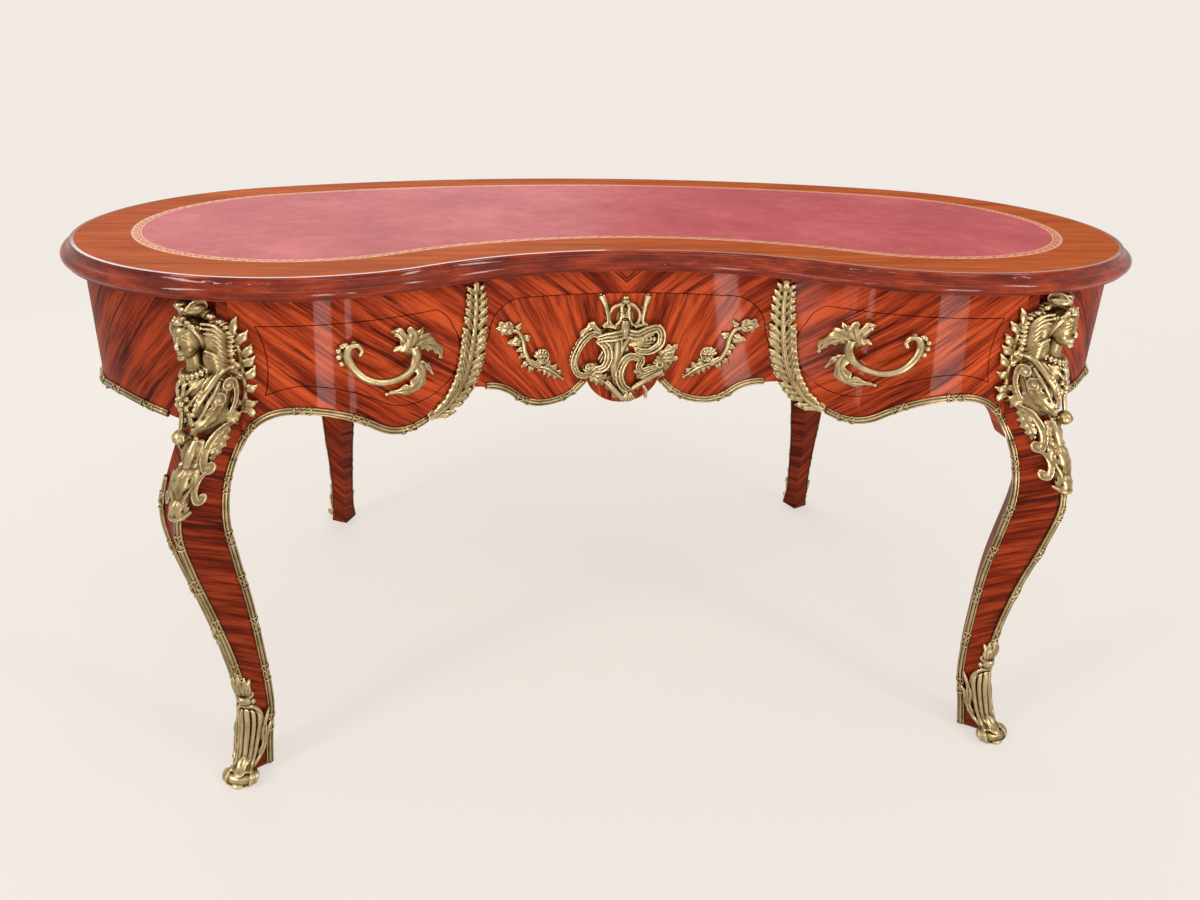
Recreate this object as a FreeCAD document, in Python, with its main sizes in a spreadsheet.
import FreeCAD, Part
import math
import os
import Sketcher
from FreeCAD import Placement, Vector

# Driving dimensions of the desk, in millimetres and degrees.
# The front faces -Y, the floor is Z = 0 and the desk is symmetrical about X = 0.
SIZES = {
    "overall_height": 780,
    "top_thickness": 32,
    # plan curve of the top: two round ends, a flat back bow and a hollow front
    "end_radius": 403,
    "end_centre_x": 524,
    "end_centre_y": -44,
    "back_radius": 1753,
    "front_radius": 554,
    # top board, its moulded lipping and the leather
    "moulding_width": 20.5,
    "bead_width": 5,
    "bead_drop": 4,
    "bead_middle_drop": 1.3,
    "cavetto_inset": 5,
    "cavetto_drop": 12,
    "cavetto_middle_drop": 9.6,
    "torus_foot_inset": 7,
    "torus_foot_rise": 2.5,
    "leather_margin": 103,
    "leather_thickness": 1.6,
    # apron: leans inwards from the top to its foot
    "apron_inset": 32,
    "apron_foot_inset": 62,
    "apron_foot_below_top": 340,
    "apron_thickness": 28,
    "apron_split_beyond": 66,
    # drawer fronts
    "drawer_front_thickness": 26,
    "drawer_gap": 1.5,
    "drawer_top_below_top": 75,
    "centre_drawer_top_x": 160,
    "centre_drawer_side_x": 222,
    "centre_drawer_side_z_below_top": 125,
    "centre_drawer_corner_sag": 18,
    "side_drawer_top_inner_x": 302,
    "side_drawer_outer_x": 554,
    "side_drawer_outer_foot_x": 545,
    "side_drawer_outer_foot_z_below_top": 183,
    "side_drawer_end_sag": 10,
    "side_drawer_crest_x": 490,
    "side_drawer_crest_z_below_top": 169,
    "side_drawer_crest_sag": 3,
    "side_drawer_slope_sag": 7,
    "side_drawer_round_x": 340,
    "side_drawer_round_z_below_top": 148,
    "side_drawer_round_radius": 74,
    "side_drawer_round_start": -50,
    "side_drawer_round_end": 147,
    "side_drawer_corner_sag": 4,
    # lower edge of the front, from the middle outwards
    "drop_z_below_top": 270,
    "drop_sag": 11,
    "cusp_x": 59,
    "cusp_z_below_top": 230,
    "lobe_x": 143,
    "lobe_z_below_top": 265,
    "lobe_sag": 12,
    "lobe_rise_x": 185,
    "lobe_rise_z_below_top": 241,
    "lobe_rise_sag": 4,
    "shoulder_x": 247,
    "shoulder_z_below_top": 216,
    "leaf_foot_x": 316,
    "leaf_foot_z_below_top": 256,
    "leaf_foot_sag": 8,
    "belly_end_x": 392,
    "belly_end_z_below_top": 250,
    "belly_sag": 12,
    "crest_x": 493,
    "crest_z_below_top": 211,
    "crest_sag": 8,
    "spandrel_inside": 7,
    "spandrel_z_below_top": 258,
    "spandrel_sag": 17,
    "spandrel_foot_beyond": 278,
    # lower edge of the ends and of the back
    "end_middle_back": 9,
    "end_drop_z_below_top": 283,
    "end_rise_within": 217,
    "end_rise_z_below_top": 230,
    "end_rise_sag": 14,
    "end_crest_within": 97,
    "end_crest_z_below_top": 224,
    "end_crest_sag": 11,
    "end_spandrel_within": 41,
    "end_spandrel_z_below_top": 280,
    "end_spandrel_sag": 14,
    "back_drop_z_below_top": 272,
    "back_rise_x": 430,
    "back_rise_z_below_top": 227,
    "back_rise_sag": 18,
    "back_crest_inside": 20,
    "back_crest_z_below_top": 245,
    "back_crest_sag": 14,
    "back_spandrel_beyond": 853,
    # legs: the square section is set cornerwise, and its outer corner follows these stations
    "front_ankle_beyond": 61,
    "front_ankle_within": 57,
    "front_leg_turn": 12,
    "back_ankle_beyond": 19,
    "back_ankle_within": 39,
    "back_leg_turn": 20,
    "front_leg_spread": 1,
    "back_leg_spread": 0.2,
    "front_leg_slim": 1,
    "back_leg_slim": 0.8,
    "foot_height": 6,
    "foot_out": 6,
    "foot_forward": 31,
    "foot_side": 46,
    "instep_height": 45,
    "instep_out": 1,
    "instep_forward": 20,
    "instep_side": 39,
    "ankle_height": 100,
    "ankle_out": -1,
    "ankle_forward": 14,
    "ankle_side": 39,
    "shin_height": 180,
    "shin_out": 18,
    "shin_forward": 12,
    "shin_side": 47,
    "calf_share": 0.3333,
    "calf_out": 43,
    "calf_forward": 17,
    "calf_side": 59,
    "thigh_share": 0.4359,
    "thigh_out": 64,
    "thigh_forward": 35,
    "thigh_side": 68,
    "knee_share": 0.5256,
    "knee_out": 77,
    "knee_forward": 47,
    "knee_side": 72,
    "crown_share": 0.6026,
    "crown_out": 71,
    "crown_forward": 43,
    "crown_side": 69,
    "neck_height_below_top": 240,
    "neck_out": 50,
    "neck_forward": 36,
    "neck_side": 68,
    "shoulder_height_below_top": 170,
    "shoulder_out": 30,
    "shoulder_forward": 33,
    "shoulder_side": 56,
    "post_out": 20,
    "post_forward": 22,
    "post_side": 40,
    "stile_width": 70,
    "stile_depth": 90,
    "stile_foot_below_top": 175,
    "stile_set_back": 9,
    # inner frame
    "partition_x": 243,
    "partition_thickness": 16,
    "partition_foot_below_top": 214,
    "runner_thickness": 17,
    "runner_overlap": 14,
    "guide_height": 22,
    "outer_runner_width": 30,
    "slide_clearance": 0.4,
    "stop_length": 18,
    "stop_height": 24,
    "block_width": 40,
    "block_depth": 22,
    "block_height": 22,
    "back_block_inner_x": 140,
    "back_block_outer_x": 415,
    "end_block_forward": 181,
    "end_block_back": 141,
    # drawer boxes
    "side_box_inner_x": 300,
    "side_box_outer_x": 530,
    "side_box_foot_below_top": 163,
    "side_box_top_below_top": 82,
    "side_box_back_y": 69,
    "centre_box_half_width": 212,
    "centre_box_foot_below_top": 200,
    "centre_box_top_below_top": 108,
    "centre_box_back_y": 159,
    "drawer_side_thickness": 10,
    "drawer_bottom_thickness": 6,
    "drawer_bottom_rise": 5,
    # lock
    "lock_width": 70,
    "lock_height": 46,
    "lock_set_back": 15.8,
    "lock_case_depth": 17,
    "lock_plate_drop": 4,
    "bolt_width": 24,
    "bolt_thickness": 6,
    "bolt_length": 32,
    "bolt_travel": 8,
    "bolt_clearance": 0.5,
    # gilt mounts
    "edging_width": 10,
    "edging_depth": 6,
    "leg_edging_side": 9,
    "arris_edging_foot": 118,
    "arris_edging_top_below_top": 388,
    "mount_depth": 8,
    "spray_seat": 0.3,
    "leaf_top_half_width": 14,
    "leaf_half_width": 16,
    "leaf_axis_x": 247,
    "leaf_waist_z_below_top": 140,
    "leaf_bend_x": 268,
    "leaf_bend_z_below_top": 214,
    "leaf_tip_x": 322,
    "leaf_tip_z_below_top": 244,
    "cartouche_depth": 10,
    "cartouche_top_below_top": 79,
    "cartouche_head_half_width": 37,
    "cartouche_head_z_below_top": 88,
    "cartouche_neck_half_width": 46,
    "cartouche_neck_z_below_top": 132,
    "cartouche_waist_half_width": 88,
    "cartouche_waist_z_below_top": 176,
    "cartouche_hip_half_width": 55,
    "cartouche_hip_z_below_top": 220,
    "cartouche_foot_below_top": 264,
    "keyhole_z_below_top": 103,
    "keyhole_radius": 3.2,
    "keyhole_slot": 11,
    "spray_inner_x": 96,
    "spray_inner_z_below_top": 218,
    "spray_outer_x": 204,
    "spray_outer_z_below_top": 116,
    "spray_width": 15,
    "spray_sag": 14,
    "pull_inner_x": 342,
    "pull_outer_x": 430,
    "pull_end_z_below_top": 129,
    "pull_low_x": 386,
    "pull_low_z_below_top": 168,
    "pull_stand_off": 22,
    "pull_radius": 5.5,
    "pull_knob_radius": 9,
    "pull_plate_half_width": 24,
    "pull_plate_half_height": 40,
    "pull_curl_half_width": 12,
    "pull_curl_half_height": 20,
    "figure_turn": 52,
    "figure_drop_height_below_top": 390,
    "figure_drop_stand": 4,
    "figure_drop_wide": 14,
    "figure_drop_deep": 8,
    "figure_tassel_height_below_top": 360,
    "figure_tassel_stand": 5,
    "figure_tassel_wide": 32,
    "figure_tassel_deep": 14,
    "figure_scroll_height_below_top": 300,
    "figure_scroll_stand": 8,
    "figure_scroll_wide": 46,
    "figure_scroll_deep": 26,
    "figure_hip_height_below_top": 240,
    "figure_hip_stand": 12,
    "figure_hip_wide": 56,
    "figure_hip_deep": 34,
    "figure_volute_height_below_top": 200,
    "figure_volute_stand": 16,
    "figure_volute_wide": 60,
    "figure_volute_deep": 38,
    "figure_waist_height_below_top": 165,
    "figure_waist_stand": 19,
    "figure_waist_wide": 42,
    "figure_waist_deep": 36,
    "figure_bust_height_below_top": 132,
    "figure_bust_stand": 24,
    "figure_bust_wide": 66,
    "figure_bust_deep": 46,
    "figure_collar_height_below_top": 108,
    "figure_collar_stand": 25,
    "figure_collar_wide": 60,
    "figure_collar_deep": 42,
    "figure_throat_height_below_top": 90,
    "figure_throat_stand": 29,
    "figure_throat_wide": 28,
    "figure_throat_deep": 30,
    "figure_head_height_below_top": 64,
    "figure_head_stand": 33,
    "figure_head_wide": 44,
    "figure_head_deep": 48,
    "figure_crest_height_below_top": 38,
    "figure_crest_stand": 32,
    "figure_crest_wide": 22,
    "figure_crest_deep": 22,
    "boss_radius": 10,
    "boss_height_below_top": 230,
    "boss_stand": 32,
    "sabot_wall": 4,
    "sabot_height": 132,
    "sabot_heel_height": 34,
    "toe_radius": 14,
    "toe_width": 42,
    "toe_reach": 4,
    "clasp_half_width": 42,
    "clasp_height": 40,
}

# Heights on the apron, the drawers and the mounts, which hang from the top of the desk
HUNG = [alias[:-len("_below_top")] for alias in SIZES if alias.endswith("_below_top")]

# Places that follow from the plan curve and from the height
TIED = {
    "calf_height": "overall_height * calf_share",
    "thigh_height": "overall_height * thigh_share",
    "knee_height": "overall_height * knee_share",
    "crown_height": "overall_height * crown_share",
    "front_ankle_x": "end_centre_x + front_ankle_beyond",
    "front_ankle_y": "end_centre_y - end_radius + front_ankle_within",
    "back_ankle_x": "end_centre_x + back_ankle_beyond",
    "back_ankle_y": "end_centre_y + end_radius - back_ankle_within",
    "apron_split_x": "end_centre_x + apron_split_beyond",
    "spandrel_x": "front_ankle_x - spandrel_inside",
    "spandrel_foot_x": "front_ankle_x + spandrel_foot_beyond",
    "back_spandrel_x": "back_ankle_x + back_spandrel_beyond",
    "back_crest_x": "back_ankle_x - back_crest_inside",
    "end_middle_y": "end_centre_y + end_middle_back",
    "end_rise_y": "end_radius - end_rise_within",
    "end_crest_y": "end_radius - end_crest_within",
    "end_spandrel_y": "end_radius - end_spandrel_within",
    "end_block_front_y": "end_centre_y - end_block_forward",
    "end_block_back_y": "end_centre_y + end_block_back",
    "front_bow_y": "end_centre_y - sqrt((front_radius + end_radius)^2 - end_centre_x^2)",
    "back_bow_y": "end_centre_y - sqrt((back_radius - end_radius)^2 - end_centre_x^2)",
    "lock_case_front_y": "front_bow_y + front_radius + apron_inset + lock_set_back",
}

doc = FreeCAD.newDocument("bureau_plat")
sheet = doc.addObject("Spreadsheet::Sheet", "sizes")
cells = {alias: str(value) for alias, value in SIZES.items()}
cells.update({alias: "=overall_height - %s_below_top" % alias for alias in HUNG})
cells.update({alias: "=" + formula for alias, formula in TIED.items()})
for row, (alias, content) in enumerate(cells.items(), start=1):
    sheet.set("A%d" % row, alias)
    sheet.set("B%d" % row, content)
    sheet.setAlias("B%d" % row, alias)
doc.recompute()

REACH = 1200
NEAR = "-%d" % REACH
FAR = "%d" % REACH
TOP_UNDERSIDE = "sizes.overall_height - sizes.top_thickness"
sub_parts = []


def size(alias):
    """Value of one cell of the sheet."""
    return float(getattr(sheet, alias))


def top_underside():
    return size("overall_height") - size("top_thickness")


def sub_part(item, label):
    """Give a finished piece its name and put it on the list that is written out."""
    item.Label = label
    sub_parts.append(item)
    return item


def feature(name, shape):
    """A piece of free form, made from the sheet's values."""
    item = doc.addObject("Part::Feature", name)
    item.Shape = shape
    item.Placement = Placement()
    return item


def group(name, shapes):
    return feature(name, Part.makeCompound(shapes))


def cut(name, base, *tools):
    """Take the tools out of the base, one after the other."""
    for number, tool in enumerate(tools, start=1):
        item = doc.addObject("Part::Cut", "%s_cut_%d" % (name, number))
        item.Base = base
        item.Tool = tool
        base = item
    return base


def common(name, *items):
    item = doc.addObject("Part::MultiCommon", name)
    item.Shapes = list(items)
    return item


def fuse(name, *items):
    item = doc.addObject("Part::MultiFuse", name)
    item.Shapes = list(items)
    return item


def mirror(name, source):
    """The same piece on the other side of the desk."""
    item = doc.addObject("Part::Mirroring", name)
    item.Source = source
    item.Normal = Vector(1, 0, 0)
    return item


def pair(label, source):
    """The right-hand piece and its mirror image on the left."""
    sub_part(source, label + "_right")
    left = sub_part(mirror(label + "_mirror", source), label + "_left")
    return left, source


def block(name, low, high):
    """A squared piece between two corners, each given as three expressions."""
    item = doc.addObject("Part::Box", name)
    for axis, extent, start, end in zip("xyz", ("Length", "Width", "Height"), low, high):
        item.setExpression(extent, "(%s) - (%s)" % (end, start))
        item.setExpression("Placement.Base.%s" % axis, start)
    return item


# Plan curve of the top

def front_centre_y():
    """Centre of the hollow front bow, which the round ends touch from outside."""
    return size("front_bow_y")


def back_centre_y():
    """Centre of the back bow, which the round ends touch from inside."""
    return size("back_bow_y")


def total(aliases):
    """Sum of several cells, as a value; a leading minus takes a cell away."""
    return sum(-size(word[1:]) if word.startswith("-") else size(word) for word in aliases)


def total_expression(aliases):
    words = ["-sizes.%s" % word[1:] if word.startswith("-") else "+sizes.%s" % word for word in aliases]
    return "0" + "".join(words)


def draw_kidney(sketch, inset):
    """Four tangent arcs: the plan curve of the top, set in by the sum of the given cells."""
    step = total(inset)
    end_x = size("end_centre_x")
    end_y = size("end_centre_y")
    front_y = front_centre_y()
    back_y = back_centre_y()
    front_turn = math.atan2(end_y - front_y, end_x)
    back_turn = math.atan2(end_y - back_y, end_x)
    arcs = (
        (0, front_y, size("front_radius") + step, front_turn, math.pi - front_turn),
        (end_x, end_y, size("end_radius") - step, front_turn - math.pi, back_turn),
        (0, back_y, size("back_radius") - step, back_turn, math.pi - back_turn),
        (-end_x, end_y, size("end_radius") - step, math.pi - back_turn, 2 * math.pi - front_turn),
    )
    for x, y, radius, start, end in arcs:
        circle = Part.Circle(Vector(x, y, 0), Vector(0, 0, 1), radius)
        sketch.addGeometry(Part.ArcOfCircle(circle, start, end))
    front, right, back, left = range(4)
    start, end, centre = 1, 2, 3
    touches = (
        (front, start, right, start), (right, end, back, start),
        (back, end, left, start), (left, end, front, end),
    )
    for first, first_point, second, second_point in touches:
        sketch.addConstraint(Sketcher.Constraint("Tangent", first, first_point, second, second_point))
    sketch.addConstraint(Sketcher.Constraint("Equal", right, left))
    sketch.addConstraint(Sketcher.Constraint("Symmetric", right, centre, left, centre, -2))
    shift = total_expression(inset)
    bound = (
        ("front_bow", Sketcher.Constraint("Radius", front, arcs[0][2]), "sizes.front_radius + (%s)" % shift),
        ("end_bow", Sketcher.Constraint("Radius", right, arcs[1][2]), "sizes.end_radius - (%s)" % shift),
        ("back_bow", Sketcher.Constraint("Radius", back, arcs[2][2]), "sizes.back_radius - (%s)" % shift),
        ("end_x", Sketcher.Constraint("DistanceX", -1, 1, right, centre, end_x), "sizes.end_centre_x"),
        ("end_y", Sketcher.Constraint("DistanceY", -1, 1, right, centre, end_y), "sizes.end_centre_y"),
    )
    for name, constraint, expression in bound:
        index = sketch.addConstraint(constraint)
        sketch.renameConstraint(index, name)
        sketch.setExpression("Constraints." + name, expression)
    return sketch


def loose_kidney(name, inset, height):
    """Kidney curve at a height, for the lofts that bound the apron."""
    sketch = doc.addObject("Sketcher::SketchObject", name)
    sketch.setExpression("Placement.Base.z", height)
    return draw_kidney(sketch, inset)


def body_kidney(body, name, inset, height):
    """Kidney curve inside a body, on its own ground plane lifted to a height."""
    sketch = body.newObject("Sketcher::SketchObject", name)
    plane = next(item for item in body.Origin.OriginFeatures if item.Role == "XY_Plane")
    sketch.AttachmentSupport = (plane, [""])
    sketch.MapMode = "FlatFace"
    sketch.setExpression("AttachmentOffset.Base.z", height)
    return draw_kidney(sketch, inset)


def kidney_pad(label, inset, foot, thickness):
    """A board with the plan curve of the top."""
    body = doc.addObject("PartDesign::Body", label)
    pad = body.newObject("PartDesign::Pad", label + "_pad")
    pad.Profile = body_kidney(body, label + "_outline", inset, foot)
    pad.setExpression("Length", thickness)
    return body


def apron_volume(name, *offset):
    """Everything inside the leaning apron face moved in by the given cells."""
    low = loose_kidney(name + "_low", ("apron_foot_inset",) + offset, "sizes.apron_foot")
    high = loose_kidney(name + "_high", ("apron_inset",) + offset, TOP_UNDERSIDE)
    loft = doc.addObject("Part::Loft", name)
    loft.Sections = [low, high]
    loft.Solid = True
    loft.Ruled = True
    return loft


def face_inset(height):
    """How far the apron face stands in from the top's edge at a height."""
    lean = (size("apron_foot_inset") - size("apron_inset")) / (top_underside() - size("apron_foot"))
    return size("apron_inset") + lean * (top_underside() - height)


def face_point(x, z, proud=0):
    """Point on the front face of the apron, standing proud of it along its normal in plan."""
    inset = face_inset(z)
    front_radius = size("front_radius") + inset
    front_y = front_centre_y()
    middle = Vector(0, front_y, z)
    end = Vector(math.copysign(size("end_centre_x"), x), size("end_centre_y"), z)
    tangent_x = front_radius * size("end_centre_x") / (size("front_radius") + size("end_radius"))
    if abs(x) < tangent_x:
        point = Vector(x, front_y + math.sqrt(front_radius ** 2 - x ** 2), z)
        outward = (middle - point).normalize()
    else:
        end_radius = size("end_radius") - inset
        point = Vector(x, end.y - math.sqrt(end_radius ** 2 - (x - end.x) ** 2), z)
        outward = (point - end).normalize()
    return point + outward * proud, outward


# Outlines drawn in the plane of the front

def front_plane(x, z):
    return Vector(x, 0, z)


def side_plane(y, z):
    return Vector(0, y, z)


def bow(start, end, sag, normal):
    """Middle point of an arc whose bulge is to the left of its run, seen along the normal."""
    left = normal.cross(end - start).normalize()
    return (start + end) * 0.5 + left * sag


def arc(start, end, sag, normal=Vector(0, -1, 0)):
    return Part.Arc(start, bow(start, end, sag, normal), end).toShape()


def line(start, end):
    return Part.LineSegment(start, end).toShape()


def closed_face(edges):
    return Part.Face(Part.Wire(edges))


def main_solid(shape):
    """Largest solid of a shape, without the slivers that a leg trims off."""
    return max(shape.Solids, key=lambda solid: solid.Volume)


def mirrored(shape):
    return shape.mirror(Vector(), Vector(1, 0, 0))


def prism(face, depth):
    return face.extrude(depth)


FORWARD = Vector(0, -REACH, 0)
BACKWARD = Vector(0, REACH, 0)


def front_edge_face():
    """Space under the right half of the front's lower edge."""
    middle = front_plane(0, size("drop_z"))
    cusp = front_plane(size("cusp_x"), size("cusp_z"))
    lobe = front_plane(size("lobe_x"), size("lobe_z"))
    lobe_rise = front_plane(size("lobe_rise_x"), size("lobe_rise_z"))
    shoulder = front_plane(size("shoulder_x"), size("shoulder_z"))
    leaf_foot = front_plane(size("leaf_foot_x"), size("leaf_foot_z"))
    belly_end = front_plane(size("belly_end_x"), size("belly_end_z"))
    crest = front_plane(size("crest_x"), size("crest_z"))
    spandrel = front_plane(size("spandrel_x"), size("spandrel_z"))
    corner = front_plane(size("spandrel_foot_x"), 0)
    axis_foot = front_plane(0, 0)
    return closed_face([
        arc(middle, cusp, -size("drop_sag")),
        arc(cusp, lobe, -size("lobe_sag")),
        arc(lobe, lobe_rise, -size("lobe_rise_sag")),
        arc(lobe_rise, shoulder, size("lobe_rise_sag")),
        arc(shoulder, leaf_foot, -size("leaf_foot_sag")),
        arc(leaf_foot, belly_end, -size("belly_sag")),
        arc(belly_end, crest, size("crest_sag")),
        arc(crest, spandrel, size("spandrel_sag")),
        line(spandrel, corner),
        line(corner, axis_foot),
        line(axis_foot, middle),
    ])


def back_edge_face():
    """Space under the right half of the back's lower edge."""
    middle = front_plane(0, size("back_drop_z"))
    rise = front_plane(size("back_rise_x"), size("back_rise_z"))
    crest = front_plane(size("back_crest_x"), size("back_crest_z"))
    corner = front_plane(size("back_spandrel_x"), 0)
    axis_foot = front_plane(0, 0)
    return closed_face([
        arc(middle, rise, -size("back_rise_sag")),
        arc(rise, crest, size("back_crest_sag")),
        line(crest, corner),
        line(corner, axis_foot),
        line(axis_foot, middle),
    ])


def end_edge_face():
    """Space under an end's lower edge, alike on both sides of its middle."""
    across = Vector(1, 0, 0)
    middle_y = size("end_middle_y")

    def at(reach, height):
        return side_plane(middle_y + reach, height)

    edges = []
    middle = at(0, size("end_drop_z"))
    for way in (1, -1):
        rise = at(way * size("end_rise_y"), size("end_rise_z"))
        crest = at(way * size("end_crest_y"), size("end_crest_z"))
        spandrel = at(way * size("end_spandrel_y"), size("end_spandrel_z"))
        foot = at(way * size("end_spandrel_y"), 0)
        edges += [
            arc(middle, rise, -way * size("end_rise_sag"), across),
            arc(rise, crest, way * size("end_crest_sag"), across),
            arc(crest, spandrel, way * size("end_spandrel_sag"), across),
            line(spandrel, foot),
        ]
    edges.append(line(at(-size("end_spandrel_y"), 0), at(size("end_spandrel_y"), 0)))
    return closed_face(Part.__sortEdges__(edges))


def side_drawer_face():
    """Outline of the right-hand drawer: straight top, hollow outer end, round inner end."""
    top_inner = front_plane(size("side_drawer_top_inner_x"), size("drawer_top"))
    top_outer = front_plane(size("side_drawer_outer_x"), size("drawer_top"))
    outer_foot = front_plane(size("side_drawer_outer_foot_x"), size("side_drawer_outer_foot_z"))
    crest = front_plane(size("side_drawer_crest_x"), size("side_drawer_crest_z"))
    round_centre = front_plane(size("side_drawer_round_x"), size("side_drawer_round_z"))

    def on_round(angle):
        turn = math.radians(angle)
        return round_centre + front_plane(math.cos(turn), math.sin(turn)) * size("side_drawer_round_radius")

    start_angle = size("side_drawer_round_start")
    end_angle = size("side_drawer_round_end") - 360
    round_start = on_round(start_angle)
    round_middle = on_round((start_angle + end_angle) / 2)
    round_end = on_round(end_angle)
    return closed_face([
        line(top_inner, top_outer),
        arc(top_outer, outer_foot, -size("side_drawer_end_sag")),
        arc(outer_foot, crest, -size("side_drawer_crest_sag")),
        arc(crest, round_start, -size("side_drawer_slope_sag")),
        Part.Arc(round_start, round_middle, round_end).toShape(),
        arc(round_end, top_inner, size("side_drawer_corner_sag")),
    ])


def centre_drawer_face():
    """Outline of the centre drawer, open downwards because it ends in the apron's own edge."""
    top = front_plane(size("centre_drawer_top_x"), size("drawer_top"))
    side = front_plane(size("centre_drawer_side_x"), size("centre_drawer_side_z"))
    shoulder = front_plane(size("shoulder_x"), size("shoulder_z"))
    foot = front_plane(size("shoulder_x"), 0)
    right = [
        line(foot, shoulder),
        line(shoulder, side),
        arc(side, top, -size("centre_drawer_corner_sag")),
    ]
    left = [mirrored(edge) for edge in right]
    bridges = [line(top, front_plane(-top.x, top.z)), line(front_plane(-foot.x, 0), foot)]
    return closed_face(Part.__sortEdges__(right + left + bridges))


def both_sides(name, face, depth):
    """Prisms of an outline and of its mirror image, as one tool."""
    solid = prism(face, depth)
    return feature(name, solid.fuse(mirrored(solid)))


# Top board, lipping and leather

top_panel = kidney_pad("top_panel", ("moulding_width",), TOP_UNDERSIDE, "sizes.top_thickness")
recess = top_panel.newObject("PartDesign::Pocket", "leather_recess")
recess.Profile = body_kidney(top_panel, "recess_outline", ("leather_margin",), "sizes.overall_height")
recess.setExpression("Length", "sizes.leather_thickness")
sub_part(top_panel, "top_panel")
leather_panel = kidney_pad("leather_panel", ("leather_margin",),
                           "sizes.overall_height - sizes.leather_thickness", "sizes.leather_thickness")
sub_part(leather_panel, "leather_panel")
doc.recompute()


def moulding_profile(outward):
    """Section of the lipping: a small bead, a hollow and a large round.

    The section stands at the plan curve's own radius, given by a function of the inset.
    """
    top = size("overall_height")
    foot = top_underside()
    bead_inset = size("moulding_width") - size("bead_width")

    def at(inset, height):
        return Vector(outward(inset), 0, height)

    inner_top = at(size("moulding_width"), top)
    bead_start = at(bead_inset, top)
    bead_end = at(bead_inset - size("bead_drop") / 2, top - size("bead_drop"))
    hollow_end = at(size("cavetto_inset"), top - size("cavetto_drop"))
    round_end = at(size("torus_foot_inset"), foot + size("torus_foot_rise"))
    lip_foot = at(size("torus_foot_inset"), foot)
    inner_foot = at(size("moulding_width"), foot)
    bead_middle = at(bead_inset - size("bead_drop") / 2, top - size("bead_middle_drop"))
    hollow_middle = at((bead_inset + size("cavetto_inset")) / 2, top - size("cavetto_middle_drop"))
    round_middle = at(0, (hollow_end.z + round_end.z) / 2)
    return closed_face([
        line(inner_top, bead_start),
        Part.Arc(bead_start, bead_middle, bead_end).toShape(),
        Part.Arc(bead_end, hollow_middle, hollow_end).toShape(),
        Part.Arc(hollow_end, round_middle, round_end).toShape(),
        line(round_end, lip_foot),
        line(lip_foot, inner_foot),
        line(inner_foot, inner_top),
    ])


def moulding_shape():
    """Lipping turned about the centre of each of the four arcs of the plan curve."""
    end_x = size("end_centre_x")
    end_y = size("end_centre_y")
    front_turn = math.degrees(math.atan2(end_y - front_centre_y(), end_x))
    back_turn = math.degrees(math.atan2(end_y - back_centre_y(), end_x))

    def on_front(inset):
        return size("front_radius") + inset

    def on_end(inset):
        return size("end_radius") - inset

    def on_back(inset):
        return size("back_radius") - inset

    runs = (
        (0, front_centre_y(), on_front, front_turn, 180 - front_turn),
        (end_x, end_y, on_end, front_turn - 180, back_turn),
        (0, back_centre_y(), on_back, back_turn, 180 - back_turn),
        (-end_x, end_y, on_end, 180 - back_turn, 360 - front_turn),
    )
    axis = Vector(0, 0, 1)
    solids = []
    for x, y, outward, start, end in runs:
        section = moulding_profile(outward)
        section.rotate(Vector(), axis, start)
        solid = section.revolve(Vector(), axis, end - start)
        solid.translate(Vector(x, y, 0))
        solids.append(solid)
    return solids[0].multiFuse(solids[1:]).removeSplitter()


sub_part(feature("lipping", moulding_shape()), "top_edge_moulding")

# Volumes bounded by the leaning apron face: its outside, its inside, and the faces of what lies on it

apron_outer = apron_volume("apron_outer")
apron_inner = apron_volume("apron_inner", "apron_thickness")
front_inner = apron_volume("drawer_front_inner", "drawer_front_thickness")
edging_outer = apron_volume("edging_outer", "-edging_depth")
mount_outer = apron_volume("mount_outer", "-mount_depth")
spray_seat = apron_volume("spray_seat_face", "-spray_seat")
cartouche_outer = apron_volume("cartouche_outer", "-cartouche_depth")
doc.recompute()

# Legs

STATIONS = ("foot", "instep", "ankle", "shin", "calf", "thigh", "knee", "crown", "neck", "shoulder", "post")
FRONT = -1
BACK = 1


def leg_directions(way):
    """Outward and sideways directions of a right-hand leg's cornerwise section."""
    turn = math.radians(size("front_leg_turn") if way == FRONT else size("back_leg_turn"))
    outward = Vector(math.sin(turn), way * math.cos(turn), 0)
    sideways = Vector(math.cos(turn), -way * math.sin(turn), 0)
    return outward, sideways


def station_height(name):
    return top_underside() if name == "post" else size(name + "_height")


def arris(name, way):
    """Outer corner of a right-hand leg at one station."""
    side = "front" if way == FRONT else "back"
    x = size(side + "_ankle_x") + size(name + "_out") * size(side + "_leg_spread")
    y = size(side + "_ankle_y") + way * size(name + "_forward")
    return Vector(x, y, station_height(name))


def section_corners(name, way, grow=0):
    """Corners of the leg's square section: outer, inner side, back and outer side."""
    outward, sideways = leg_directions(way)
    slim = size("front_leg_slim" if way == FRONT else "back_leg_slim")
    half = (size(name + "_side") * slim + 2 * grow) / math.sqrt(2)
    tip = arris(name, way) + outward * grow * math.sqrt(2)
    near = tip - (outward + sideways) * half
    far = tip - (outward - sideways) * half
    return [tip, near, tip - outward * half * 2, far]


def column_through(rings):
    """Smooth column through level rings of corners: one curve along each corner, ruled faces between them."""
    heights = [ring[0].z for ring in rings]
    corners = []
    for track in zip(*rings):
        spline = Part.BSplineCurve()
        spline.interpolate(Points=list(track), Parameters=heights)
        corners.append(spline.toShape())
    faces = [Part.makeRuledSurface(near, far) for near, far in zip(corners, corners[1:] + corners[:1])]
    faces += [Part.Face(Part.makePolygon(ring + ring[:1])) for ring in (rings[0], rings[-1])]
    shell = Part.makeShell(faces)
    shell.sewShape()
    solid = Part.makeSolid(shell)
    if solid.Volume < 0:
        solid.reverse()
    return solid


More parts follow.
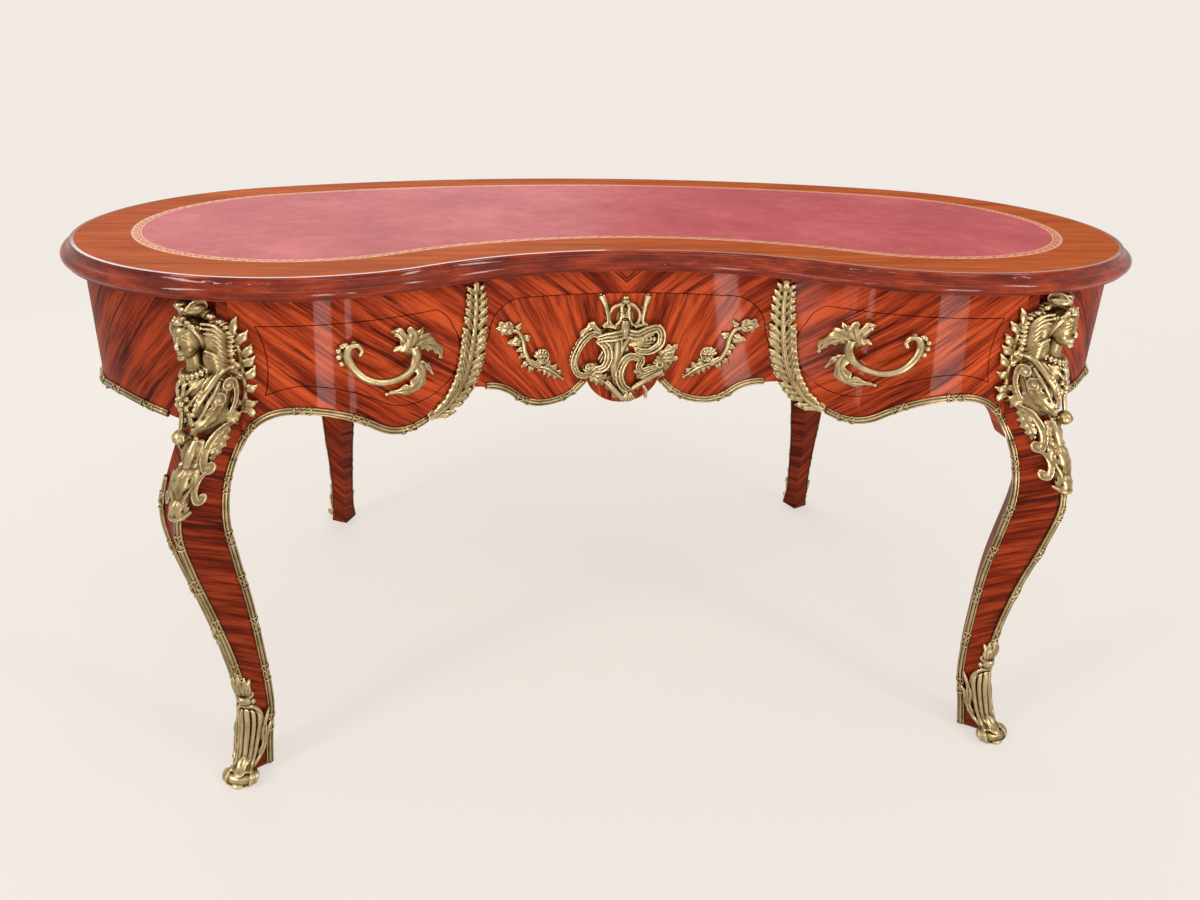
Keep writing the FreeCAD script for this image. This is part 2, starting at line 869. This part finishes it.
def height_band(low, high):
    """Everything between two heights."""
    return Part.makeBox(2 * REACH, 2 * REACH, high - low, Vector(-REACH, -REACH, low))


def leg_blank(way):
    return column_through([section_corners(name, way) for name in STATIONS])


def stile_shape(way):
    """Upright part of the leg between the aprons: flat faces, leaning with the apron's outside."""
    outward, sideways = leg_directions(way)
    half = sideways * (size("stile_width") / 2)
    rings = []
    for height in (size("stile_foot"), top_underside()):
        tip = arris("post", way)
        face = tip - outward * (size("stile_set_back") + face_inset(height) - face_inset(tip.z))
        back = tip - outward * size("stile_depth")
        ring = [face - half, face + half, back + half, back - half]
        rings.append([Vector(corner.x, corner.y, height) for corner in ring])
    wires = [Part.makePolygon(ring + ring[:1]) for ring in rings]
    return Part.makeLoft(wires, True, True)


def make_leg(name, way):
    blank = feature(name + "_cabriole", leg_blank(way))
    stile = feature(name + "_stile", stile_shape(way))
    return fuse(name, blank, stile)


leg_front = make_leg("leg_front", FRONT)
leg_back = make_leg("leg_back", BACK)
leg_front_left, leg_front_right = pair("leg_front", leg_front)
leg_back_left, leg_back_right = pair("leg_back", leg_back)

# Cutting tools for the apron: lower edges and drawer openings

front_edge = both_sides("front_lower_edge", front_edge_face(), FORWARD)
back_edge = both_sides("back_lower_edge", back_edge_face(), BACKWARD)
end_edge = feature("end_lower_edge", prism(end_edge_face(), Vector(REACH, 0, 0)))
side_opening = both_sides("side_drawer_openings", side_drawer_face(), FORWARD)
centre_opening = feature("centre_drawer_opening", prism(centre_drawer_face(), FORWARD))
front_region = block("front_region", ("-sizes.apron_split_x", NEAR, "0"), ("sizes.apron_split_x", "0", FAR))
back_region = block("back_region", ("-sizes.apron_split_x", "0", "0"), ("sizes.apron_split_x", FAR, FAR))
end_region = block("end_region", ("sizes.apron_split_x", NEAR, "0"), (FAR, FAR, FAR))

# Lock bolt's room in the rail above the centre drawer

BOLT_Y = "sizes.lock_case_front_y + sizes.lock_case_depth / 2"
BOLT_TOP = "sizes.drawer_top - sizes.drawer_gap"
BOLT_FOOT = BOLT_TOP + " - sizes.bolt_length"
bolt = block("bolt",
             ("-sizes.bolt_width / 2", BOLT_Y + " - sizes.bolt_thickness / 2", BOLT_FOOT),
             ("sizes.bolt_width / 2", BOLT_Y + " + sizes.bolt_thickness / 2", BOLT_TOP))
bolt_way = block("bolt_way",
                 ("-sizes.bolt_width / 2 - sizes.bolt_clearance",
                  BOLT_Y + " - sizes.bolt_thickness / 2 - sizes.bolt_clearance",
                  BOLT_FOOT + " - sizes.bolt_clearance"),
                 ("sizes.bolt_width / 2 + sizes.bolt_clearance",
                  BOLT_Y + " + sizes.bolt_thickness / 2 + sizes.bolt_clearance",
                  BOLT_TOP + " + sizes.bolt_travel + 2 * sizes.drawer_gap"))

# Aprons

apron_shell = cut("apron_shell", apron_outer, apron_inner)
front_apron = cut("front_apron", common("front_blank", apron_shell, front_region), front_edge, side_opening,
                  centre_opening, bolt_way, leg_front_left, leg_front_right)
sub_part(front_apron, "front_apron")
back_apron = cut("back_apron", common("back_blank", apron_shell, back_region), back_edge,
                 leg_back_left, leg_back_right)
end_apron = cut("end_apron", common("end_blank", apron_shell, end_region), end_edge,
                leg_front_right, leg_back_right)
doc.recompute()
sub_part(feature("back_board", main_solid(back_apron.Shape)), "back_apron")
pair("end_apron", feature("end_board", main_solid(end_apron.Shape)))

# Partitions, runners, stops and fixing blocks

partition = common("partition", apron_inner, block(
    "partition_board",
    ("sizes.partition_x", NEAR, "sizes.partition_foot"),
    ("sizes.partition_x + sizes.partition_thickness", FAR, TOP_UNDERSIDE)))
pair("partition", partition)


def runner(name, ledge, guide, foot):
    """L-shaped runner: a ledge under the drawer side and a guide beside it."""
    ledge_top = "%s - sizes.slide_clearance" % foot
    ledge_foot = ledge_top + " - sizes.runner_thickness"
    guide_top = ledge_top + " + sizes.guide_height"
    ledge_board = block(name + "_ledge", (ledge[0], NEAR, ledge_foot), (ledge[1], FAR, ledge_top))
    guide_board = block(name + "_guide", (guide[0], NEAR, ledge_top), (guide[1], FAR, guide_top))
    whole = fuse(name + "_whole", ledge_board, guide_board)
    return cut(name, common(name + "_inside", apron_inner, whole), leg_back)


PARTITION_OUTER = "sizes.partition_x + sizes.partition_thickness"
SIDE_INNER_GUIDE = "sizes.side_box_inner_x - sizes.slide_clearance"
SIDE_OUTER_GUIDE = "sizes.side_box_outer_x + sizes.slide_clearance"
CENTRE_GUIDE = "sizes.centre_box_half_width + sizes.slide_clearance"
inner_runner = runner("inner_runner", (PARTITION_OUTER, "sizes.side_box_inner_x + sizes.runner_overlap"),
                      (PARTITION_OUTER, SIDE_INNER_GUIDE), "sizes.side_box_foot")
OUTER_RUNNER_EDGE = "sizes.side_box_outer_x - sizes.runner_overlap"
OUTER_RUNNER_END = OUTER_RUNNER_EDGE + " + sizes.outer_runner_width"
outer_runner = runner("outer_runner", (OUTER_RUNNER_EDGE, OUTER_RUNNER_END),
                      (SIDE_OUTER_GUIDE, OUTER_RUNNER_END), "sizes.side_box_foot")
CENTRE_RUNNER_EDGE = "sizes.centre_box_half_width - sizes.runner_overlap"
centre_runner = runner("centre_runner", (CENTRE_RUNNER_EDGE, "sizes.partition_x"),
                       (CENTRE_GUIDE, "sizes.partition_x"), "sizes.centre_box_foot")


def stop(name, inner, outer, foot, back):
    """Small block on a runner, behind the drawer side that comes to rest against it."""
    ledge_top = "%s - sizes.slide_clearance" % foot
    start = "%s + sizes.slide_clearance" % back
    end = start + " + sizes.stop_length"
    return block(name, (inner, start, ledge_top), (outer, end, ledge_top + " + sizes.stop_height"))


side_stops = [
    stop("inner_stop", "sizes.side_box_inner_x", "sizes.side_box_inner_x + sizes.runner_overlap",
         "sizes.side_box_foot", "sizes.side_box_back_y"),
    stop("outer_stop", OUTER_RUNNER_EDGE, "sizes.side_box_outer_x",
         "sizes.side_box_foot", "sizes.side_box_back_y"),
]
centre_stop = stop("centre_stop", CENTRE_RUNNER_EDGE, "sizes.centre_box_half_width",
                   "sizes.centre_box_foot", "sizes.centre_box_back_y")
doc.recompute()


def both(shapes):
    """Shapes on the right and their mirror images."""
    return list(shapes) + [mirrored(shape) for shape in shapes]


right_runners = [inner_runner.Shape, outer_runner.Shape]
sub_part(group("runners_right", right_runners), "drawer_runners_right")
sub_part(group("runners_left", [mirrored(shape) for shape in right_runners]), "drawer_runners_left")
sub_part(group("runners_centre", both([centre_runner.Shape])), "drawer_runners_centre")
sub_part(group("stops", both([item.Shape for item in side_stops + [centre_stop]])), "drawer_stops")


def fixing_blocks():
    """Glue blocks under the top, against the inside of the back and end aprons."""
    width = size("block_width")
    depth = size("block_depth")
    foot = top_underside() - size("block_height")
    inner = size("apron_inset") + size("apron_thickness")
    shapes = []
    for x in (size("back_block_inner_x"), size("back_block_outer_x")):
        radius = size("back_radius") - inner
        y = back_centre_y() + math.sqrt(radius ** 2 - x ** 2)
        corner = Vector(x - width / 2, y - depth, foot)
        shapes.append(Part.makeBox(width, depth * 2, size("block_height"), corner))
    for y in (size("end_block_front_y"), size("end_block_back_y")):
        radius = size("end_radius") - inner
        x = size("end_centre_x") + math.sqrt(radius ** 2 - (y - size("end_centre_y")) ** 2)
        corner = Vector(x - depth * 2, y - width / 2, foot)
        shapes.append(Part.makeBox(depth * 4, width, size("block_height"), corner))
    return both([shape.common(apron_inner.Shape) for shape in shapes])


sub_part(group("fixing_blocks", fixing_blocks()), "top_fixing_blocks")

# Drawers

drawer_shell = cut("drawer_shell", apron_outer, front_inner)


def shrunk(face):
    """Outline of a drawer front: its opening less the gap all round."""
    return face.makeOffset2D(-size("drawer_gap"))


def drawer_box(name, left, right, foot, top, back):
    """Sides, back and bottom of a drawer, meeting the inside of its curved front."""
    wall = "sizes.drawer_side_thickness"
    floor_foot = "%s + sizes.drawer_bottom_rise" % foot
    inner_left = "%s + %s" % (left, wall)
    inner_right = "%s - %s" % (right, wall)
    inner_back = "%s - %s" % (back, wall)
    sides = []
    for side, low, high in (("near", left, inner_left), ("far", inner_right, right)):
        board = block("%s_%s_side" % (name, side), (low, NEAR, foot), (high, back, top))
        sides.append(common("%s_%s_fitted" % (name, side), front_inner, board))
    back_board = block(name + "_back_board", (inner_left, inner_back, foot), (inner_right, back, top))
    floor_board = block(name + "_floor_board", (inner_left, NEAR, floor_foot),
                        (inner_right, inner_back, floor_foot + " + sizes.drawer_bottom_thickness"))
    floor = common(name + "_floor", front_inner, floor_board)
    return sides, back_board, floor


side_prism = feature("side_front_prism", prism(shrunk(side_drawer_face()), FORWARD))
side_front = common("side_front", drawer_shell, side_prism)
pair("drawer_front", side_front)
side_sides, side_back, side_floor = drawer_box(
    "side_box", "sizes.side_box_inner_x", "sizes.side_box_outer_x", "sizes.side_box_foot",
    "sizes.side_box_top", "sizes.side_box_back_y")
pair("drawer_back", side_back)
pair("drawer_bottom", side_floor)

LOCK_TOP = BOLT_TOP + " - sizes.lock_plate_drop"
lock_room = block("lock_room",
                  ("-sizes.lock_width / 2", "sizes.lock_case_front_y", LOCK_TOP + " - sizes.lock_height"),
                  ("sizes.lock_width / 2", "sizes.lock_case_front_y + sizes.lock_case_depth", LOCK_TOP))
lock_recess = block("lock_recess",
                    ("-sizes.lock_width / 2", "sizes.lock_case_front_y", LOCK_TOP + " - sizes.lock_height"),
                    ("sizes.lock_width / 2", "0", LOCK_TOP))


def keyhole_shape():
    """Round eye with a slot under it, through the mount and the drawer front."""
    radius = size("keyhole_radius")
    eye = Part.makeCylinder(radius, REACH, Vector(0, 0, size("keyhole_z")), Vector(0, -1, 0))
    slot = Part.makeBox(radius, REACH, size("keyhole_slot"),
                        Vector(-radius / 2, -REACH, size("keyhole_z") - size("keyhole_slot")))
    return eye.fuse(slot)


keyhole = feature("keyhole", keyhole_shape())
centre_prism = feature("centre_front_prism", prism(shrunk(centre_drawer_face()), FORWARD))
centre_blank = common("centre_front_blank", drawer_shell, centre_prism)
sub_part(cut("centre_front", centre_blank, front_edge, lock_recess, bolt_way, keyhole), "drawer_front_centre")
centre_sides, centre_back, centre_floor = drawer_box(
    "centre_box", "-sizes.centre_box_half_width", "sizes.centre_box_half_width", "sizes.centre_box_foot",
    "sizes.centre_box_top", "sizes.centre_box_back_y")
sub_part(centre_back, "drawer_back_centre")
sub_part(centre_floor, "drawer_bottom_centre")
sub_part(cut("lock_case", lock_room, bolt_way, keyhole), "lock_case")
sub_part(bolt, "lock_bolt")
doc.recompute()
sub_part(group("sides_right", [item.Shape for item in side_sides]), "drawer_sides_right")
sub_part(group("sides_left", [mirrored(item.Shape) for item in side_sides]), "drawer_sides_left")
sub_part(group("sides_centre", [item.Shape for item in centre_sides]), "drawer_sides_centre")

# Gilt mounts on the apron and the drawers


def curve(points):
    """Smooth edge through a few points."""
    spline = Part.BSplineCurve()
    spline.interpolate(points)
    return spline.toShape()


def leaf_face():
    """Long leaf between the drawers, bending out along the lower edge at its foot."""
    top = top_underside()
    axis = size("leaf_axis_x")
    half = size("leaf_half_width")
    upper = size("leaf_top_half_width")
    bend = front_plane(size("leaf_bend_x"), size("leaf_bend_z"))
    tip = front_plane(size("leaf_tip_x"), size("leaf_tip_z"))
    slant = front_plane(half, half) * (1 / math.sqrt(2))
    waist = size("leaf_waist_z")
    left = [front_plane(axis - upper, top), front_plane(axis - half, waist), bend - slant, tip]
    right = [front_plane(axis + upper, top), front_plane(axis + half, waist), bend + slant, tip]
    return closed_face([line(right[0], left[0]), curve(left), curve(right[::-1])])


def on_apron(face, outer, depth):
    """Mount of an outline, lying on the apron face and as thick as the given volume allows."""
    return prism(face, depth).common(outer.Shape).cut(apron_outer.Shape)


leaf_shape = on_apron(leaf_face(), mount_outer, FORWARD)
pair("leaf_mount", feature("leaf", leaf_shape))


def cartouche_face():
    """Shell-like plate round the keyhole: narrow head, wide waist, hanging foot."""
    right = [front_plane(0, size("cartouche_top"))]
    for level in ("head", "neck", "waist", "hip"):
        half_width = size("cartouche_%s_half_width" % level)
        right.append(front_plane(half_width, size("cartouche_%s_z" % level)))
    right.append(front_plane(0, size("cartouche_foot")))
    left = [front_plane(-point.x, point.z) for point in right]
    return closed_face([curve(right), curve(left[::-1])])


cartouche_shape = on_apron(cartouche_face(), cartouche_outer, FORWARD).cut(keyhole.Shape)
sub_part(feature("cartouche", cartouche_shape), "escutcheon_cartouche")


def spray_face():
    """Slim curved leaf from the cartouche up to the drawer's corner."""
    inner = front_plane(size("spray_inner_x"), size("spray_inner_z"))
    outer = front_plane(size("spray_outer_x"), size("spray_outer_z"))
    lower = -size("spray_sag")
    return closed_face([arc(inner, outer, lower), arc(outer, inner, -lower - size("spray_width"))])


spray_shape = on_apron(spray_face(), edging_outer, FORWARD).cut(spray_seat.Shape)
pair("spray", feature("spray", spray_shape))


def edging_on(tool_face, depth, tool):
    """Edging along a lower edge, standing on the apron face."""
    wide = prism(tool_face.makeOffset2D(size("edging_width")), depth)
    return wide.common(edging_outer.Shape).cut(tool).cut(apron_outer.Shape)


front_edging = edging_on(front_edge_face(), FORWARD, front_edge.Shape)
beyond_shoulder = Part.makeBox(REACH, REACH, REACH, Vector(size("shoulder_x"), -REACH, 0))
leg_front_shape = leg_front.Shape
front_edging_right = main_solid(front_edging.common(beyond_shoulder).cut(leg_front_shape).cut(leaf_shape))
pair("edging_front", feature("front_edging", front_edging_right))
centre_edging_right = front_edging.common(centre_prism.Shape)
centre_edging = centre_edging_right.fuse(mirrored(centre_edging_right)).cut(cartouche_shape)
sub_part(feature("centre_edging", centre_edging), "edging_centre")
leg_back_shape = leg_back.Shape
back_edging_right = edging_on(back_edge_face(), BACKWARD, back_edge.Shape)
back_edging = back_edging_right.fuse(mirrored(back_edging_right)).common(back_region.Shape)
back_edging = back_edging.cut(leg_back_shape).cut(mirrored(leg_back_shape))
sub_part(feature("back_edging", back_edging), "edging_back")


def clasp_face():
    """Leaf clasp over the lowest point of an end's edge."""
    across = Vector(1, 0, 0)
    middle_y = size("end_middle_y")
    half = size("clasp_half_width")
    foot = size("end_drop_z")
    left = side_plane(middle_y - half, foot + size("edging_width"))
    right = side_plane(middle_y + half, foot + size("edging_width"))
    return closed_face([
        arc(left, right, size("clasp_height") - size("edging_width"), across),
        arc(right, left, size("edging_width"), across),
    ])


clasp = on_apron(clasp_face(), mount_outer, Vector(REACH, 0, 0))
pair("end_clasp", feature("clasp", clasp))
end_edging = edging_on(end_edge_face(), Vector(REACH, 0, 0), end_edge.Shape).common(end_region.Shape)
end_edging = end_edging.cut(leg_front_shape).cut(leg_back_shape).cut(clasp)
pair("edging_end", feature("end_edging", end_edging))


def pull_shape():
    """Fixed scroll pull: a hanging bar between two knobs, on posts and leaf plates."""
    stand_off = size("pull_stand_off")
    inner, inner_out = face_point(size("pull_inner_x"), size("pull_end_z"), stand_off)
    outer, outer_out = face_point(size("pull_outer_x"), size("pull_end_z"), stand_off)
    low, _ = face_point(size("pull_low_x"), size("pull_low_z"), stand_off)
    path = Part.Arc(inner, low, outer)
    edge = path.toShape()
    start = edge.tangentAt(edge.FirstParameter)
    ring = Part.Wire(Part.makeCircle(size("pull_radius"), inner, start))
    pieces = [Part.Wire(edge).makePipeShell([ring], True, True)]
    for point, outward in ((inner, inner_out), (outer, outer_out)):
        pieces.append(Part.makeSphere(size("pull_knob_radius"), point))
        pieces.append(Part.makeCylinder(size("pull_radius"), 2 * stand_off, point, outward * -1))
    whole = pieces[0].multiFuse(pieces[1:]).cut(apron_outer.Shape)
    end_z = size("pull_end_z")
    for x, plate in ((size("pull_inner_x"), "pull_plate"), (size("pull_outer_x"), "pull_curl")):
        high = front_plane(x, end_z + size(plate + "_half_height"))
        wide = front_plane(x + size(plate + "_half_width"), end_z)
        ellipse = Part.Ellipse(high, wide, front_plane(x, end_z))
        whole = whole.fuse(on_apron(closed_face([ellipse.toShape()]), edging_outer, FORWARD))
    return whole


pair("pull", feature("pull", pull_shape()))

# Gilt mounts on the legs


def arris_at(height, way):
    """Outer corner of a leg at any height, between its stations."""
    for low, high in zip(STATIONS, STATIONS[1:]):
        start = arris(low, way)
        end = arris(high, way)
        if start.z <= height <= end.z:
            share = (height - start.z) / (end.z - start.z)
            return start + (end - start) * share
    return arris(STATIONS[-1], way)


def leg_edging(way, leg_shape):
    """Strips on the outer corner and on both side corners of a leg."""
    outward, sideways = leg_directions(way)
    reach = size("leg_edging_side") / math.sqrt(2)
    spokes = (outward * reach, sideways * reach, outward * -reach, sideways * -reach)
    bands = (
        (0, size("arris_edging_foot"), size("arris_edging_top")),
        (1, size("ankle_height"), size("crown_height")),
        (3, size("ankle_height"), size("crown_height")),
    )
    strips = []
    for corner, low, high in bands:
        rings = []
        for name in STATIONS:
            centre = section_corners(name, way)[corner]
            rings.append([centre + spoke for spoke in spokes])
        strips.append(column_through(rings).common(height_band(low, high)).cut(leg_shape))
    return strips


FIGURE_RINGS = (
    "drop", "tassel", "scroll", "hip", "volute", "waist", "bust", "collar", "throat", "head", "crest",
)
RING_SIDES = 8


def figure_shape(way, leg_shape):
    """Half-figure that grows out of the knee: head, bust, scrolled hips and a hanging leaf."""
    turn = math.radians(size("figure_turn"))
    facing = Vector(math.sin(turn), way * math.cos(turn), 0)
    across = Vector(0, 0, 1).cross(facing)
    rings = []
    for name in FIGURE_RINGS:
        centre = arris_at(size("figure_%s_height" % name), way) + facing * size("figure_%s_stand" % name)
        wide = size("figure_%s_wide" % name) / 2
        deep = size("figure_%s_deep" % name) / 2
        ring = []
        for number in range(RING_SIDES):
            angle = 2 * math.pi * (number + 0.5) / RING_SIDES
            ring.append(centre + across * (wide * math.cos(angle)) + facing * (deep * math.sin(angle)))
        rings.append(ring)
    boss_centre = arris_at(size("boss_height"), way) + facing * size("boss_stand")
    boss = Part.makeSphere(size("boss_radius"), boss_centre)
    return column_through(rings).fuse(boss).cut(leg_shape).cut(apron_outer.Shape)


def sabot_shape(way, leg_shape):
    """Toe mount: a shell over the foot, high in front and low at the heel, with a sole and a scrolled toe."""
    outward, sideways = leg_directions(way)
    wall = size("sabot_wall")
    shell = column_through([section_corners(name, way, wall) for name in STATIONS])
    shell = shell.common(height_band(size("foot_height"), size("sabot_height"))).cut(leg_shape)
    front = arris("instep", way) + outward * (wall * 2)
    heel = section_corners("instep", way, wall)[2] - outward * wall
    span = sideways * size("foot_side") * 2
    ramp = [
        Vector(front.x, front.y, size("sabot_height")), Vector(front.x, front.y, REACH),
        Vector(heel.x, heel.y, REACH), Vector(heel.x, heel.y, size("sabot_heel_height")),
    ]
    near_ramp = [point - span for point in ramp]
    wedge = Part.Face(Part.makePolygon(near_ramp + near_ramp[:1])).extrude(span * 2)
    ground = [Vector(corner.x, corner.y, 0) for corner in section_corners("foot", way, wall)]
    sole = Part.Face(Part.makePolygon(ground + ground[:1])).extrude(Vector(0, 0, size("foot_height")))
    toe_centre = arris("foot", way) + outward * size("toe_reach")
    toe_centre.z = size("toe_radius")
    toe_start = toe_centre - sideways * (size("toe_width") / 2)
    toe = Part.makeCylinder(size("toe_radius"), size("toe_width"), toe_start, sideways).cut(leg_shape)
    return main_solid(shell.cut(wedge).multiFuse([sole, toe]))


for side, way, leg_shape in (("front", FRONT, leg_front_shape), ("back", BACK, leg_back_shape)):
    sabot = sabot_shape(way, leg_shape)
    figure = figure_shape(way, leg_shape)
    strips = [strip.cut(figure).cut(sabot) for strip in leg_edging(way, leg_shape)]
    pair("sabot_" + side, feature("sabot_" + side, sabot))
    pair("figure_" + side, feature("figure_" + side, figure))
    strip_group = group("strips_" + side, strips)
    pair("leg_edging_" + side, strip_group)

doc.recompute()


def faults():
    """Objects that failed to build, and pieces with no sound solid."""
    found = [item.Name for item in doc.Objects if {"Invalid", "Error"} & set(item.State)]
    for item in sub_parts:
        if item.Shape.isNull() or not item.Shape.isValid() or not item.Shape.Solids:
            found.append(item.Label)
    return found


broken = faults()
if broken:
    raise RuntimeError("these did not build: " + ", ".join(broken))
os.makedirs("parts", exist_ok=True)
for item in sub_parts:
    item.Shape.exportStep("parts/%s.step" % item.Label)
    print(item.Label, len(item.Shape.Solids), "solids", round(item.Shape.Volume))
